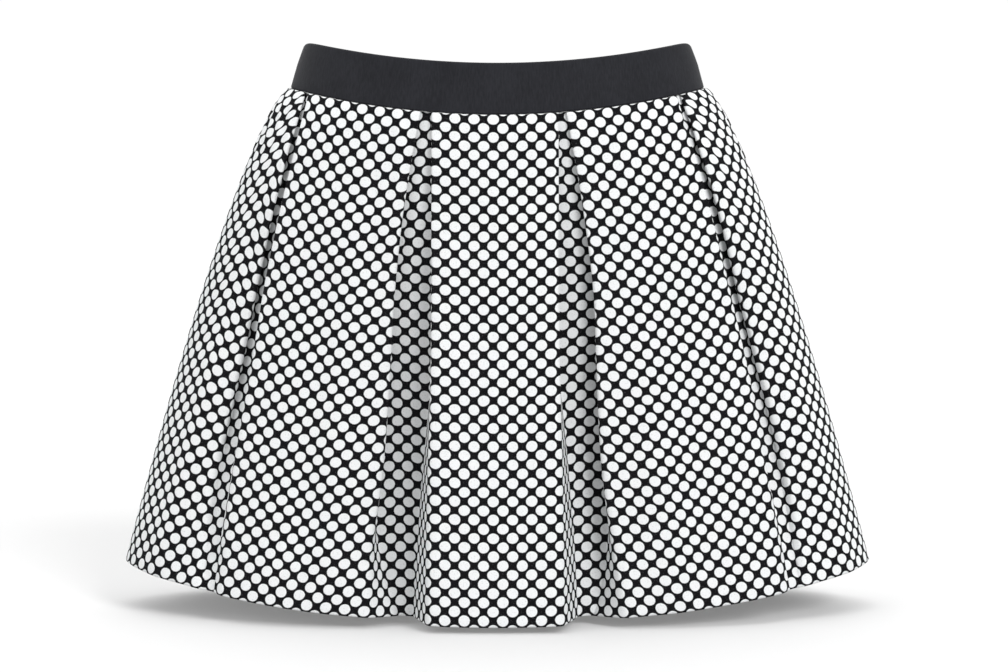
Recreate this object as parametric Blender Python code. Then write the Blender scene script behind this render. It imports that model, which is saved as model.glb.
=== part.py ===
"""A-line mini skirt with a plain waistband and four pleats in front and four behind.

Metres, +Z up. The front faces -Y and the wearer's left is at +X. The origin is the centre of
the waist, level with the side ends of the seam between waistband and skirt.

Every cloth wall follows level curves. A level's base curve is an ellipse, and the pleats are
drawn against it in two lengths: s, along the base curve from the centre line, and d, inwards
from it. A pleat lies folded in three layers under the waistband and opens into a soft wave at
the hem. The cloth is cut straight, so the length round a quarter of the skirt is the same at
every level: what the hem spreads out is folded away higher up.
"""
import math

import bmesh
import bpy
import numpy as np

# Sizes of the cloth
CLOTH_WALL = 0.0012
LAYER_PITCH = 0.0017
BAND_WALL = 0.0026
SEAM_GAP = 0.0003

# Half width and half depth of the outer surface, at the waist seam and at the hem
SEAM_HALF_WIDTH = 0.1565
SEAM_HALF_DEPTH = 0.0890
HEM_HALF_WIDTH = 0.2805
HEM_HALF_DEPTH = 0.1300
FLARE_POWER = 0.755

# Heights: the seam and the hem dip at the centre line
SEAM_SIDE_Z = 0.0050
SEAM_MID_Z = -0.0145
HEM_SIDE_Z = -0.3490
HEM_MID_Z = -0.3792

# Waistband, measured on its outer face
BAND_SEAM_HALF_WIDTH = 0.1545
BAND_SEAM_HALF_DEPTH = 0.0888
BAND_TOP_HALF_WIDTH = 0.1445
BAND_TOP_HALF_DEPTH = 0.0825
BAND_TOP_SIDE_Z = 0.0398
BAND_TOP_MID_Z = 0.0230

# The waistband's top edge rounds down over the side seams
BAND_DROOP = 0.0040
DROOP_POWER = 50

# Zip in the centre back seam: tape inside, slider and pull outside at the top
TAPE_WIDTH = 0.0240
TAPE_WALL = 0.0010
TAPE_STEPS = 4
TAPE_BELOW_TOP = 0.10
TAPE_LEVELS = (0.0, 0.06, 0.15, 0.26, 0.38)
SLIDER_Z = 0.0115
SLIDER_WIDTH = 0.0070
SLIDER_HEIGHT = 0.0100
SLIDER_WALL = 0.0015
BRIDGE_WIDTH = 0.0020
BRIDGE_HEIGHT = 0.0080
BRIDGE_WALL = 0.0011
TUNNEL_DEPTH = 0.0018
PULL_WALL = 0.0011
PULL_LENGTH = 0.0200
PULL_HEAD_WIDTH = 0.0054
PULL_FOOT_WIDTH = 0.0074
PULL_CORNER = 0.0008
PULL_HOLE_WIDTH = 0.0030
PULL_HOLE_LENGTH = 0.0028

# The levels of the rings, from the waist seam (0) to the hem (1)
LEVELS = (0.0, 0.06, 0.15, 0.26, 0.38, 0.50, 0.62, 0.75, 0.88, 1.0)

# Where the folds run, as distances from the centre line seen from the front.
# Columns: level, edge of the centre panel, inner and outer edge of the side-front panel.
FOLD_COLUMNS = ("level", "centre_edge", "inner_edge", "outer_edge")
LEFT_FOLDS = (
    (0.00, 0.0470, 0.0560, 0.1385),
    (0.18, 0.0470, 0.0675, 0.1545),
    (0.36, 0.0470, 0.0750, 0.1695),
    (0.54, 0.0472, 0.0790, 0.1800),
    (0.72, 0.0477, 0.0846, 0.1910),
    (0.86, 0.0482, 0.0918, 0.1975),
    (1.00, 0.0486, 0.0950, 0.2015),
)
RIGHT_FOLDS = (
    (0.00, 0.0440, 0.0505, 0.1310),
    (0.18, 0.0440, 0.0620, 0.1510),
    (0.36, 0.0442, 0.0705, 0.1675),
    (0.54, 0.0446, 0.0732, 0.1825),
    (0.72, 0.0452, 0.0775, 0.1945),
    (0.86, 0.0459, 0.0850, 0.2023),
    (1.00, 0.0466, 0.0938, 0.2088),
)
BACK_FOLDS = (
    (0.00, 0.0455, 0.0530, 0.1350),
    (0.18, 0.0455, 0.0645, 0.1530),
    (0.36, 0.0458, 0.0725, 0.1680),
    (0.54, 0.0460, 0.0765, 0.1800),
    (0.72, 0.0464, 0.0811, 0.1927),
    (0.86, 0.0470, 0.0884, 0.1997),
    (1.00, 0.0476, 0.0944, 0.2050),
)

# How the pleats lie, the same on both sides.
# Columns: level; forward shift of the centre panel; inward shift of the inner edge; depth of the
# inner pleat and its return under the centre panel; inward shift of the side panel's edge; gap and
# depth of the outer pleat and its return under the side-front panel; roundness of the bends. A
# return below zero is a wall that slopes out into the gap.
PLEAT_COLUMNS = ("level", "centre_lift", "inner_sink", "inner_depth", "centre_return",
                 "side_sink", "outer_gap", "outer_depth", "outer_return", "roundness")
PLEATS = (
    (0.00, 0.0000, 0.0000, 0.0035, 0.0200, 0.0000, 0.0060, 0.0035, 0.0160, 0.0017),
    (0.15, 0.0005, 0.0005, 0.0085, 0.0150, 0.0005, 0.0080, 0.0075, 0.0090, 0.0022),
    (0.35, 0.0020, 0.0020, 0.0165, 0.0060, 0.0020, 0.0110, 0.0105, 0.0020, 0.0035),
    (0.55, 0.0045, 0.0035, 0.0235, -0.0030, 0.0035, 0.0160, 0.0125, -0.0030, 0.0048),
    (0.75, 0.0065, 0.0050, 0.0280, -0.0100, 0.0035, 0.0215, 0.0120, -0.0065, 0.0060),
    (0.90, 0.0080, 0.0060, 0.0303, -0.0135, 0.0030, 0.0245, 0.0100, -0.0085, 0.0068),
    (1.00, 0.0085, 0.0065, 0.0308, -0.0150, 0.0030, 0.0260, 0.0080, -0.0095, 0.0072),
)

# The far walls of the two pleats at the hem; higher up the cloth's length sets them
INNER_RETURN_HEM = -0.0200
SIDE_RETURN_HEM = -0.0095
RETURN_LIMIT = 0.0600
LEAN_SHARE = 0.65

# The warp thread that stays at one place in the cloth of a side-front panel leans outwards
THREAD_SEAM = 0.0760
THREAD_HEM = 0.1500

BAND_SHARES = (0.0, 0.5, 1.0)
BAND_STEPS = 14
CURVE_STEPS = 400
LENGTH_STEPS = 4
HALVINGS = 24
PANEL_STEP = 0.006
SHARP_ANGLE = math.radians(35)


def read_column(rows, columns, name, level):
    """The value of one table column at a level, on a smooth curve through the rows."""
    levels = np.array([row[0] for row in rows])
    values = np.array([row[columns.index(name)] for row in rows])
    slopes = np.gradient(values, levels)
    i = int(np.clip(np.searchsorted(levels, level) - 1, 0, len(levels) - 2))
    step = levels[i + 1] - levels[i]
    f = (level - levels[i]) / step
    return float(
        values[i] * (1 + 2 * f) * (1 - f) ** 2
        + values[i + 1] * f * f * (3 - 2 * f)
        + step * slopes[i] * f * (1 - f) ** 2
        - step * slopes[i + 1] * f * f * (1 - f)
    )


def mix(start, end, share):
    return start + (end - start) * share


class Curve:
    """The base ellipse of one level, read by its length s from the centre line."""

    def __init__(self, half_width, half_depth, side_z, mid_z, dip_width=None, droop=0.0):
        self.half_width = half_width
        self.dip_width = dip_width or half_width
        self.half_depth = half_depth
        self.side_z = side_z
        self.mid_z = mid_z
        self.droop = droop
        self.angles = np.linspace(0.0, math.pi / 2, CURVE_STEPS)
        x = half_width * np.sin(self.angles)
        y = half_depth * np.cos(self.angles)
        steps = np.hypot(np.diff(x), np.diff(y))
        self.lengths = np.concatenate([[0.0], np.cumsum(steps)])
        self.quarter = self.lengths[-1]

    def s_at(self, x):
        """The length from the centre line at which the curve is x away from it."""
        return float(np.interp(math.asin(min(x / self.half_width, 1.0)), self.angles, self.lengths))

    def place(self, s, d):
        """Plan points for s along the curve and d inwards, on the front (-Y) side."""
        angle = np.interp(np.abs(s), self.lengths, self.angles)
        side = np.where(s < 0, -1.0, 1.0)
        nx = np.sin(angle) / self.half_width
        ny = np.cos(angle) / self.half_depth
        size = np.hypot(nx, ny)
        x = side * (self.half_width * np.sin(angle) - d * nx / size)
        y = -(self.half_depth * np.cos(angle) - d * ny / size)
        return np.stack([x, y], axis=-1)

    def height(self, x):
        """The height of the level where it is x to the side: it dips at the centre line."""
        aside = np.minimum(np.abs(x) / self.dip_width, 1.0)
        return mix(self.side_z, self.mid_z, 1.0 - aside ** 2) - self.droop * aside ** DROOP_POWER


def skirt_curve(level):
    """The base curve of the middle of the skirt's wall at a level."""
    flare = level ** FLARE_POWER
    return Curve(
        mix(SEAM_HALF_WIDTH, HEM_HALF_WIDTH, flare) - CLOTH_WALL / 2,
        mix(SEAM_HALF_DEPTH, HEM_HALF_DEPTH, flare) - CLOTH_WALL / 2,
        mix(SEAM_SIDE_Z, HEM_SIDE_Z, level),
        mix(SEAM_MID_Z, HEM_MID_Z, level),
    )


def wall_controls(edge, inwards, depth, roundness):
    """Half a pleat in (s, d): round a panel's edge and along its wall to the foot of the wall.

    edge is (s, d, return) and inwards is +1 where the panel lies before its edge, else -1.
    """
    s, d, fold_return = edge
    drop = max(LAYER_PITCH, min(roundness, (depth - d) / 2))
    opening = max(-fold_return, 0.0) * drop / (depth - LAYER_PITCH - d)
    head = np.array([s + inwards * opening, d + drop])
    foot = np.array([s - inwards * fold_return, depth - LAYER_PITCH])
    run = foot - head
    length = max(float(np.hypot(*run)), 1e-6)
    step = run / length * min(roundness, length / 3)
    return [
        (s - inwards * (PANEL_STEP + roundness), d), (s - inwards * roundness, d), (s, d),
        tuple(head), tuple(head + step), tuple((head + foot) / 2), tuple(foot - step), tuple(foot),
    ]


def pleat_controls(first, second, depth, roundness):
    """Control points (s, d) of an inverted pleat between two panel edges, (s, d, return) each.

    From each edge a wall runs back to the underlay: folded under its panel near the waist,
    and sloping out into the gap where the pleat has opened.
    """
    near = wall_controls(first, 1, depth, roundness)
    far = wall_controls(second, -1, depth, roundness)
    start, end = near[-1][0], far[-1][0]
    bend = min(roundness, (end - start) / 4)
    across = [start, start + bend, mix(start, end, 0.5), end - bend, end]
    return near + [(s, depth) for s in across] + far[::-1]


def spline(controls, counts):
    """Points and directions of the cubic B-spline of the controls, from first to last.

    counts holds the number of steps in each span between two controls.
    """
    ends = np.vstack([2 * controls[0] - controls[1], controls, 2 * controls[-1] - controls[-2]])
    points, directions = [], []
    for i, count in enumerate(counts):
        last = i == len(counts) - 1
        f = np.linspace(0.0, 1.0, count + 1 if last else count, endpoint=last)[:, None]
        a, b, c, d = ends[i:i + 4]
        points.append(
            (a * (1 - f) ** 3 + b * (3 * f ** 3 - 6 * f ** 2 + 4)
             + c * (-3 * f ** 3 + 3 * f ** 2 + 3 * f + 1) + d * f ** 3) / 6
        )
        directions.append(
            (-a * (1 - f) ** 2 + b * (3 * f ** 2 - 4 * f)
             + c * (-3 * f ** 2 + 2 * f + 1) + d * f ** 2) / 2
        )
    return np.vstack(points), np.vstack(directions)


def length_of(curve, controls):
    """Length of cloth along control points that are given in (s, d)."""
    points, _ = spline(controls, [LENGTH_STEPS] * (len(controls) - 1))
    plan = curve.place(points[:, 0], points[:, 1])
    return float(np.hypot(*np.diff(plan, axis=0).T).sum())


class Quarter:
    """One quarter of the skirt at one level: from the centre line to the side seam."""

    def __init__(self, folds, level):
        self.curve = skirt_curve(level)
        fold = {name: read_column(folds, FOLD_COLUMNS, name, level) for name in FOLD_COLUMNS[1:]}
        self.lie = {
            name: read_column(PLEATS, PLEAT_COLUMNS, name, level) for name in PLEAT_COLUMNS[1:]
        }
        self.centre = self.curve.s_at(fold["centre_edge"])
        self.inner = self.curve.s_at(fold["inner_edge"])
        self.outer = self.curve.s_at(fold["outer_edge"])
        self.thread = self.curve.s_at(mix(THREAD_SEAM, THREAD_HEM, level))
        # A far wall may slope into its gap over part of the way to the near wall's foot
        inner_gap = self.inner - self.centre
        self.inner_limit = -LEAN_SHARE * (inner_gap + self.lie["centre_return"])
        self.outer_limit = -LEAN_SHARE * (self.lie["outer_gap"] + self.lie["outer_return"])

    def inner_controls(self, fold_return):
        """From the centre line to the thread of the side-front panel."""
        lie = self.lie
        lift, sink = -lie["centre_lift"], lie["inner_sink"]
        panel = [(self.centre * f, lift) for f in (0.0, 0.3, 0.6)]
        pleat = pleat_controls(
            (self.centre, lift, lie["centre_return"]), (self.inner, sink, fold_return),
            lie["inner_depth"], lie["roundness"],
        )
        last = pleat[-1][0]
        rest = [(mix(last, self.thread, f), mix(sink, 0.0, f)) for f in (0.5, 1.0)]
        return np.array(panel + pleat + rest)

    def outer_controls(self, fold_return):
        """From the thread of the side-front panel to the side seam."""
        lie = self.lie
        sink, side_edge = lie["side_sink"], self.outer + lie["outer_gap"]
        pleat = pleat_controls(
            (self.outer, 0.0, lie["outer_return"]), (side_edge, sink, fold_return),
            lie["outer_depth"], lie["roundness"],
        )
        first, last = pleat[0][0], pleat[-1][0]
        panel = [(mix(self.thread, first, f), 0.0) for f in (0.0, 0.5)]
        side = [
            (mix(last, self.curve.quarter, f), sink * (1 - f) ** 2) for f in (0.25, 0.5, 0.75, 1.0)
        ]
        return np.array(panel + pleat + side)


def solve_return(controls_for, curve, wanted, low):
    """The return that makes the cloth as long as wanted, by bisection."""
    high = RETURN_LIMIT
    for _ in range(HALVINGS):
        middle = (low + high) / 2
        if length_of(curve, controls_for(middle)) < wanted:
            low = middle
        else:
            high = middle
    return (low + high) / 2


# Steps of the walls' points in each span between two controls
BEND_COUNTS = (1, 1, 1, 1)
WALL_COUNTS = (2, 2)
HALF_PLEAT_COUNTS = BEND_COUNTS + WALL_COUNTS + (1,)
PLEAT_COUNTS = HALF_PLEAT_COUNTS + (1, 1, 3, 3, 1, 1) + HALF_PLEAT_COUNTS[::-1]
QUARTER_COUNTS = (1, 1, 1) + PLEAT_COUNTS + (2, 2) + (2, 2) + PLEAT_COUNTS + (2, 2, 2, 2)


def quarter_controls(folds, level):
    """Control points of a quarter at a level, with the same length of cloth as at the hem."""
    hem = Quarter(folds, 1.0)
    inner_length = length_of(hem.curve, hem.inner_controls(INNER_RETURN_HEM))
    outer_length = length_of(hem.curve, hem.outer_controls(SIDE_RETURN_HEM))
    quarter = Quarter(folds, level)
    inner = solve_return(
        quarter.inner_controls, quarter.curve, inner_length, quarter.inner_limit
    )
    side = solve_return(
        quarter.outer_controls, quarter.curve, outer_length, quarter.outer_limit
    )
    controls = np.vstack([quarter.inner_controls(inner), quarter.outer_controls(side)[1:]])
    controls[-1, 0] -= SEAM_GAP / 2
    return quarter.curve, controls


def wall_rings(curve, controls, counts, behind, wall=CLOTH_WALL):
    """The outer and inner edge of a cloth wall at one level, as rows of x, y and z."""
    points, directions = spline(controls, counts)
    nudge = directions * 1e-3
    ahead = curve.place(*(points + nudge).T)
    back = curve.place(*(points - nudge).T)
    along = ahead - back
    along /= np.linalg.norm(along, axis=1)[:, None]
    outwards = np.stack([along[:, 1], -along[:, 0]], axis=1)
    plan = curve.place(*points.T)
    rings = []
    for side in (0.5, -0.5):
        edge = plan + outwards * wall * side
        z = curve.height(edge[:, 0])
        ring = np.column_stack([edge, z])
        if behind:
            ring[:, 1] *= -1
        rings.append(ring)
    return rings


def mirrored(controls):
    """The same control points on the other side of the centre line, running the other way."""
    return controls[::-1] * (-1, 1)


def wall_mesh(name, outer, inner, material):
    """A closed wall between two grids of points: outer[level][point] and inner[level][point]."""
    outer, inner = np.array(outer), np.array(inner)
    rows, columns = outer.shape[:2]
    mesh = bmesh.new()
    grids = [
        [[mesh.verts.new(point) for point in row] for row in grid] for grid in (outer, inner)
    ]
    out, back = grids
    for i in range(rows - 1):
        for j in range(columns - 1):
            mesh.faces.new((out[i][j], out[i + 1][j], out[i + 1][j + 1], out[i][j + 1]))
            mesh.faces.new((back[i][j], back[i][j + 1], back[i + 1][j + 1], back[i + 1][j]))
    for i, top in ((0, True), (rows - 1, False)):
        for j in range(columns - 1):
            face = (out[i][j], out[i][j + 1], back[i][j + 1], back[i][j])
            mesh.faces.new(face if top else face[::-1])
    for j, start in ((0, True), (columns - 1, False)):
        for i in range(rows - 1):
            face = (out[i][j], back[i][j], back[i + 1][j], out[i + 1][j])
            mesh.faces.new(face if start else face[::-1])
    return finish_object(name, mesh, material)


def finish_object(name, mesh, material):
    """Make an object of a closed bmesh, with its faces pointing out and round parts smooth."""
    bmesh.ops.recalc_face_normals(mesh, faces=mesh.faces)
    data = bpy.data.meshes.new(name)
    mesh.to_mesh(data)
    mesh.free()
    data.materials.append(material)
    data.shade_smooth()
    data.set_sharp_from_angle(angle=SHARP_ANGLE)
    thing = bpy.data.objects.new(name, data)
    bpy.context.scene.collection.objects.link(thing)
    return thing


def make_material(name, colour, roughness, metallic=0.0):
    material = bpy.data.materials.new(name)
    material.use_nodes = True
    shader = material.node_tree.nodes["Principled BSDF"]
    shader.inputs["Base Color"].default_value = (*colour, 1.0)
    shader.inputs["Roughness"].default_value = roughness
    shader.inputs["Metallic"].default_value = metallic
    material.diffuse_color = (*colour, 1.0)
    return material


def make_skirt_front(material):
    outer, inner = [], []
    for level in LEVELS:
        curve, left = quarter_controls(LEFT_FOLDS, level)
        _, right = quarter_controls(RIGHT_FOLDS, level)
        controls = np.vstack([mirrored(left), right[1:]])
        rings = wall_rings(curve, controls, QUARTER_COUNTS[::-1] + QUARTER_COUNTS, False)
        outer.append(rings[0])
        inner.append(rings[1])
    return wall_mesh("skirt_front", outer, inner, material)


def make_skirt_back(name, left_half, material):
    """Half of the back, from the centre back seam to a side seam."""
    outer, inner = [], []
    for level in LEVELS:
        curve, controls = quarter_controls(BACK_FOLDS, level)
        controls[0, 0] += SEAM_GAP / 2
        counts = QUARTER_COUNTS
        if left_half:
            controls, counts = mirrored(controls), counts[::-1]
        rings = wall_rings(curve, controls, counts, True)
        outer.append(rings[0])
        inner.append(rings[1])
    return wall_mesh(name, outer, inner, material)


def band_curve(share):
    """The middle of the waistband's wall, from its seam (0) to its top edge (1)."""
    seam = skirt_curve(0.0)
    return Curve(
        mix(BAND_SEAM_HALF_WIDTH, BAND_TOP_HALF_WIDTH, share) - BAND_WALL / 2,
        mix(BAND_SEAM_HALF_DEPTH, BAND_TOP_HALF_DEPTH, share) - BAND_WALL / 2,
        mix(SEAM_SIDE_Z + SEAM_GAP, BAND_TOP_SIDE_Z, share),
        mix(SEAM_MID_Z + SEAM_GAP, BAND_TOP_MID_Z, share),
        mix(seam.half_width, BAND_TOP_HALF_WIDTH, share),
        BAND_DROOP * max(2 * share - 1, 0.0),
    )


def make_band(name, from_side, to_side, behind, material):
    """A stretch of waistband; -1 and 1 are the side seams and 0 is the centre back."""
    outer, inner = [], []
    for share in BAND_SHARES:
        curve = band_curve(share)
        ends = [side * curve.quarter for side in (from_side, to_side)]
        ends[0] += SEAM_GAP / 2
        ends[1] -= SEAM_GAP / 2
        steps = BAND_STEPS * abs(to_side - from_side)
        controls = np.array([(s, 0.0) for s in np.linspace(*ends, steps + 1)])
        rings = wall_rings(curve, controls, [1] * steps, behind, BAND_WALL)
        outer.append(rings[0])
        inner.append(rings[1])
    return wall_mesh(name, outer, inner, material)


def make_zip_tape(material):
    """The tape that carries the concealed zip, just inside the centre back seam."""
    behind_band = BAND_WALL / 2 + SEAM_GAP + TAPE_WALL / 2
    behind_skirt = CLOTH_WALL / 2 + SEAM_GAP + TAPE_WALL / 2
    places = [(band_curve(share), behind_band) for share in (1.0 - TAPE_BELOW_TOP, 0.0)]
    for level in TAPE_LEVELS[1:]:
        lift = read_column(PLEATS, PLEAT_COLUMNS, "centre_lift", level)
        places.append((skirt_curve(level), behind_skirt - lift))
    outer, inner = [], []
    for curve, depth in places:
        across = np.linspace(-TAPE_WIDTH / 2, TAPE_WIDTH / 2, TAPE_STEPS + 1)
        controls = np.array([(s, depth) for s in across])
        rings = wall_rings(curve, controls, [1] * TAPE_STEPS, True, TAPE_WALL)
        outer.append(rings[0])
        inner.append(rings[1])
    return wall_mesh("zip_tape", outer, inner, material)


def add_box(mesh, low, high):
    """A box between two corners, added to a bmesh."""
    made = bmesh.ops.create_cube(mesh, size=1.0)["verts"]
    for vert in made:
        vert.co = [mix(a, b, co + 0.5) for a, b, co in zip(low, high, vert.co)]


def make_box(name, low, high, material):
    mesh = bmesh.new()
    add_box(mesh, low, high)
    return finish_object(name, mesh, material)


def cut_or_join(thing, other, operation):
    """Apply one exact Boolean between two objects and remove the second."""
    change = thing.modifiers.new(operation.lower(), "BOOLEAN")
    change.operation = operation
    change.solver = "EXACT"
    change.object = other
    graph = bpy.context.evaluated_depsgraph_get()
    result = bpy.data.meshes.new_from_object(thing.evaluated_get(graph))
    thing.modifiers.clear()
    old = thing.data
    thing.data = result
    result.name = old.name
    bpy.data.meshes.remove(old)
    bpy.data.objects.remove(other, do_unlink=True)


def zip_place():
    """Place and tilt of the slider: its back face lies just clear of the waistband."""
    share = (SLIDER_Z - SEAM_MID_Z) / (BAND_TOP_MID_Z - SEAM_MID_Z)
    y = mix(BAND_SEAM_HALF_DEPTH, BAND_TOP_HALF_DEPTH, share)
    tilt = math.atan2(
        BAND_SEAM_HALF_DEPTH - BAND_TOP_HALF_DEPTH, BAND_TOP_MID_Z - SEAM_MID_Z - SEAM_GAP
    )
    gap = SEAM_GAP / math.cos(tilt)
    return (0.0, y + gap, SLIDER_Z), tilt


def hinge_offset():
    """Where the pull's crossbar lies in the slider's own frame: low in the bridge's tunnel."""
    tunnel_floor = -BRIDGE_HEIGHT / 2 + BRIDGE_WALL
    return (0.0, SLIDER_WALL + TUNNEL_DEPTH / 2, tunnel_floor + SEAM_GAP + PULL_WALL / 2)


def make_slider(material):
    """The slider's plate with a bridge over a tunnel, which the pull's crossbar runs through."""
    plate = make_box(
        "zip_slider", (-SLIDER_WIDTH / 2, 0.0, -SLIDER_HEIGHT / 2),
        (SLIDER_WIDTH / 2, SLIDER_WALL, SLIDER_HEIGHT / 2), material,
    )
    top = SLIDER_WALL + TUNNEL_DEPTH + BRIDGE_WALL
    bridge = make_box(
        "bridge", (-BRIDGE_WIDTH / 2, SLIDER_WALL / 2, -BRIDGE_HEIGHT / 2),
        (BRIDGE_WIDTH / 2, top, BRIDGE_HEIGHT / 2), material,
    )
    inner = BRIDGE_HEIGHT / 2 - BRIDGE_WALL
    tunnel = make_box(
        "tunnel", (-BRIDGE_WIDTH, SLIDER_WALL, -inner),
        (BRIDGE_WIDTH, SLIDER_WALL + TUNNEL_DEPTH, inner), material,
    )
    cut_or_join(plate, bridge, "UNION")
    cut_or_join(plate, tunnel, "DIFFERENCE")
    place, tilt = zip_place()
    plate.location = place
    plate.rotation_euler = (tilt, 0.0, 0.0)
    return plate


def pull_outline():
    """Half outline (x, z) of the teardrop pull, from its head above the hinge to its foot."""
    head, foot = PULL_HEAD_WIDTH / 2, PULL_FOOT_WIDTH / 2
    top = PULL_WALL / 2
    low = -PULL_LENGTH + foot
    points = [(head - PULL_CORNER * (1 - math.sin(a)), top - PULL_CORNER * (1 - math.cos(a)))
              for a in np.linspace(0.0, math.pi / 2, 4)]
    points += [(head, -PULL_HOLE_LENGTH - PULL_WALL)]
    points += [(foot * math.cos(a), low - foot * math.sin(a))
               for a in np.linspace(0.0, math.pi / 2, 7)[:-1]]
    return points


def make_pull(slider, material):
    """The teardrop pull, with its origin on the hinge axis."""
    half = pull_outline()
    mirrored_half = [(-x, z) for x, z in half[::-1]]
    outline = half + [(0.0, -PULL_LENGTH)] + mirrored_half
    mesh = bmesh.new()
    front = [mesh.verts.new((x, PULL_WALL / 2, z)) for x, z in outline]
    back = [mesh.verts.new((x, -PULL_WALL / 2, z)) for x, z in outline]
    mesh.faces.new(front)
    mesh.faces.new(back[::-1])
    for i in range(len(outline)):
        j = (i + 1) % len(outline)
        mesh.faces.new((front[i], back[i], back[j], front[j]))
    pull = finish_object("zip_pull", mesh, material)
    hole = make_box(
        "hole", (-PULL_HOLE_WIDTH / 2, -PULL_WALL, -PULL_WALL / 2 - PULL_HOLE_LENGTH),
        (PULL_HOLE_WIDTH / 2, PULL_WALL, -PULL_WALL / 2), material,
    )
    cut_or_join(pull, hole, "DIFFERENCE")
    pull.parent = slider
    pull.location = hinge_offset()
    return pull


def clear_scene():
    for thing in list(bpy.data.objects):
        bpy.data.objects.remove(thing, do_unlink=True)


def main():
    clear_scene()
    cloth = make_material("dotted_cloth", (0.45, 0.45, 0.45), 0.85)
    band = make_material("band_cloth", (0.03, 0.03, 0.035), 0.8)
    tape = make_material("zip_tape", (0.02, 0.02, 0.022), 0.8)
    metal = make_material("zip_metal", (0.03, 0.03, 0.032), 0.4, 0.6)
    make_skirt_front(cloth)
    make_skirt_back("skirt_back_left", True, cloth)
    make_skirt_back("skirt_back_right", False, cloth)
    make_band("waistband_front", -1, 1, False, band)
    make_band("waistband_back_left", -1, 0, True, band)
    make_band("waistband_back_right", 0, 1, True, band)
    make_zip_tape(tape)
    slider = make_slider(metal)
    make_pull(slider, metal)
    bpy.context.view_layer.update()


main()
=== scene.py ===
# %% [markdown]
# # A pleated A-line skirt with dots and a plain waistband
# The solids of this skirt already exist, and this file dresses them. It loads them as a fixed
# frame, builds the fine cloth, the waistband and the zip in the same place, and gives them light.
# Everything is in metres, with +Z up and the front of the skirt facing -Y.

# %% Load the frame and keep its box
import math

import bmesh
import bpy
import numpy as np
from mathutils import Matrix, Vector


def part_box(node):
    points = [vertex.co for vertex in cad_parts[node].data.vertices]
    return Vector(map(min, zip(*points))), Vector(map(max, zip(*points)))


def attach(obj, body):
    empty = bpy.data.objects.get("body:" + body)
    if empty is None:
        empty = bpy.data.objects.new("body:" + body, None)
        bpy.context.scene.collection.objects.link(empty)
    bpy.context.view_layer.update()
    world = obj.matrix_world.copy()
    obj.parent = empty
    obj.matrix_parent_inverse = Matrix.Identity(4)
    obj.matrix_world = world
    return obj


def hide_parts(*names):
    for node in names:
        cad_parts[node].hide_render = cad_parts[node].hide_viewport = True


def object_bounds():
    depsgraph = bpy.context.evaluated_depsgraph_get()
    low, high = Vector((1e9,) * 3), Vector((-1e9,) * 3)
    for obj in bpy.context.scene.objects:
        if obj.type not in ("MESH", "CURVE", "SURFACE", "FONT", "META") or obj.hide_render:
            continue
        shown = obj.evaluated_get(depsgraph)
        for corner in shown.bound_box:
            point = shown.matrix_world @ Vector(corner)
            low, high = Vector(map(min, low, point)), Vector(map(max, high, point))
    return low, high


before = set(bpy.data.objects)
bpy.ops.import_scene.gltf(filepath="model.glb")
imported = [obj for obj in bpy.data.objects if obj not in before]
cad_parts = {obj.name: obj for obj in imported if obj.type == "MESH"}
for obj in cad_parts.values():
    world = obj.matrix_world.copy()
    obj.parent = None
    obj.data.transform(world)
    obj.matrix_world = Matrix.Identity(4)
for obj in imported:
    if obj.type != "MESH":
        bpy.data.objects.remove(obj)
cad_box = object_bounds()
print("box of the solids", [tuple(round(v, 4) for v in corner) for corner in cad_box])

# %% [markdown]
# ## Camera
# The camera comes first, because every later choice is judged through it. A long lens from a
# couple of metres away flattens the skirt a little, as a shop's camera does. It stands level
# with the waist and looks slightly down, which is why the waistband hides its own back half.

# %% Camera
CAMERA_LENS = 114.3
CAMERA_PLACE = Vector((0.0049, -2.4, 0.0))
CAMERA_AIM = Vector((0.0049, 0.0, -0.181))


def add_object(name, data):
    """A new object in the scene for a camera, a light or a mesh."""
    thing = bpy.data.objects.new(name, data)
    bpy.context.scene.collection.objects.link(thing)
    return thing


camera = add_object("camera", bpy.data.cameras.new("camera"))
camera.data.lens = CAMERA_LENS
camera.location = CAMERA_PLACE
camera.rotation_euler = (CAMERA_AIM - CAMERA_PLACE).to_track_quat("-Z", "Y").to_euler()
bpy.context.scene.camera = camera
print("camera is", round((CAMERA_AIM - CAMERA_PLACE).length, 3), "m from its aim")

# %% [markdown]
# ## Node helpers
# Materials and geometry trees are both made of nodes and links. One small helper adds a node,
# sets its properties and fills its inputs with numbers or with links, so that a tree reads like
# a formula. Inputs are named by their place, because many nodes have several of one name.

# %% Node helpers


def add_node(tree, kind, inputs=(), **settings):
    """A new node; inputs is {place or name: value or output socket}."""
    node = tree.nodes.new(kind)
    for name, value in settings.items():
        setattr(node, name, value)
    for place, value in dict(inputs).items():
        if isinstance(value, bpy.types.NodeSocket):
            tree.links.new(value, node.inputs[place])
        else:
            node.inputs[place].default_value = value
    return node


def math_node(tree, operation, *values):
    """One number worked out from others."""
    return add_node(tree, "ShaderNodeMath", enumerate(values), operation=operation).outputs[0]


def vector_node(tree, operation, *values, output=0):
    """One vector worked out from others; output 1 is a length."""
    node = add_node(tree, "ShaderNodeVectorMath", enumerate(values), operation=operation)
    return node.outputs[output]


def noise_node(tree, vector, scale, detail=2.0):
    """Soft noise about 0.5, read at a vector in metres."""
    inputs = {"Vector": vector, "Scale": scale, "Detail": detail}
    return add_node(tree, "ShaderNodeTexNoise", inputs).outputs["Fac"]


def mix_colours(tree, share, first, second):
    """A colour between two, each a link or its red, green and blue."""
    first, second = (
        colour if isinstance(colour, bpy.types.NodeSocket) else (*colour, 1.0)
        for colour in (first, second)
    )
    inputs = {0: share, 6: first, 7: second}
    return add_node(tree, "ShaderNodeMix", inputs, data_type="RGBA").outputs[2]


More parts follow.
